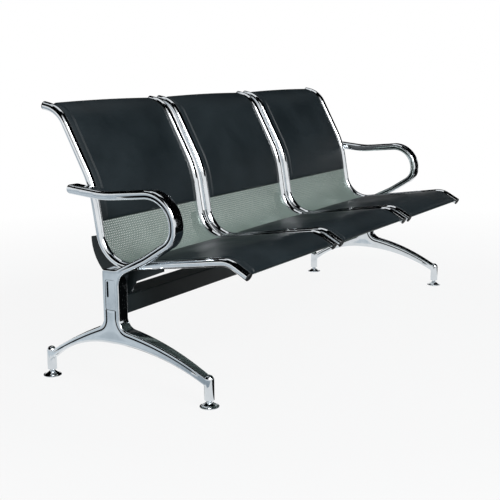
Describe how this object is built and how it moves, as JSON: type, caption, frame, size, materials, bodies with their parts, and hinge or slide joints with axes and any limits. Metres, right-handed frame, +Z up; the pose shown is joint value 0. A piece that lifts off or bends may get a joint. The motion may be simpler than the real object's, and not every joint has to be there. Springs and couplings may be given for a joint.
{
  "type": "waiting bench",
  "caption": "Beam-mounted waiting bench: S-curved perforated seats with black pads between chromed tubes, chromed end castings with loop armrests and levelling feet.",
  "frame": {"origin": "centre of the bench's box, on the floor", "axes": "+X along the row of seats, -Y towards the sitter's front, +Z up"},
  "size_m": [1.768, 0.6992, 0.8127],
  "materials": {
    "black_steel": "satin black powder coat",
    "chromed_casting": "polished and chromed casting",
    "chromed_steel": "bright chrome plate",
    "silver_sheet": "silver-grey coated perforated sheet",
    "black_leather": "semi-gloss black synthetic leather",
    "black_plastic": "moulded black plastic",
    "zinc_steel": "bright zinc plate"
  },
  "bodies": {
    "frame": {"beam": "black_steel", "beam_nuts": "zinc_steel", "side_frame_left": "chromed_casting", "column_cover_left": "chromed_casting", "beam_end_plate_left": "black_steel", "frame_bolts_left": "zinc_steel", "side_frame_right": "chromed_casting", "column_cover_right": "chromed_casting", "beam_end_plate_right": "black_steel", "frame_bolts_right": "zinc_steel", "shell_left": "silver_sheet", "back_pad_left": "black_leather", "seat_pad_left": "black_leather", "pad_screws_left": "zinc_steel", "tube_plugs_left": "black_plastic", "bracket_bolts_left": "zinc_steel", "side_tube_left_left": "chromed_steel", "seat_bracket_left_left": "black_steel", "side_tube_left_right": "chromed_steel", "seat_bracket_left_right": "black_steel", "shell_middle": "silver_sheet", "back_pad_middle": "black_leather", "seat_pad_middle": "black_leather", "pad_screws_middle": "zinc_steel", "tube_plugs_middle": "black_plastic", "bracket_bolts_middle": "zinc_steel", "side_tube_middle_left": "chromed_steel", "seat_bracket_middle_left": "black_steel", "side_tube_middle_right": "chromed_steel", "seat_bracket_middle_right": "black_steel", "shell_right": "silver_sheet", "back_pad_right": "black_leather", "seat_pad_right": "black_leather", "pad_screws_right": "zinc_steel", "tube_plugs_right": "black_plastic", "bracket_bolts_right": "zinc_steel", "side_tube_right_left": "chromed_steel", "seat_bracket_right_left": "black_steel", "side_tube_right_right": "chromed_steel", "seat_bracket_right_right": "black_steel"},
    "foot_front_left": {"foot_front_left": "chromed_steel"},
    "foot_front_right": {"foot_front_right": "chromed_steel"},
    "foot_rear_left": {"foot_rear_left": "chromed_steel"},
    "foot_rear_right": {"foot_rear_right": "chromed_steel"}
  },
  "joints": [
    {"name": "foot_front_left_screw", "type": "slide", "parent": "frame", "child": "foot_front_left", "axis": [0, 0, 1], "range_m": [-0.015, 0.003]},
    {"name": "foot_front_right_screw", "type": "slide", "parent": "frame", "child": "foot_front_right", "axis": [0, 0, 1], "range_m": [-0.015, 0.003]},
    {"name": "foot_rear_left_screw", "type": "slide", "parent": "frame", "child": "foot_rear_left", "axis": [0, 0, 1], "range_m": [-0.015, 0.003]},
    {"name": "foot_rear_right_screw", "type": "slide", "parent": "frame", "child": "foot_rear_right", "axis": [0, 0, 1], "range_m": [-0.015, 0.003]}
  ]
}
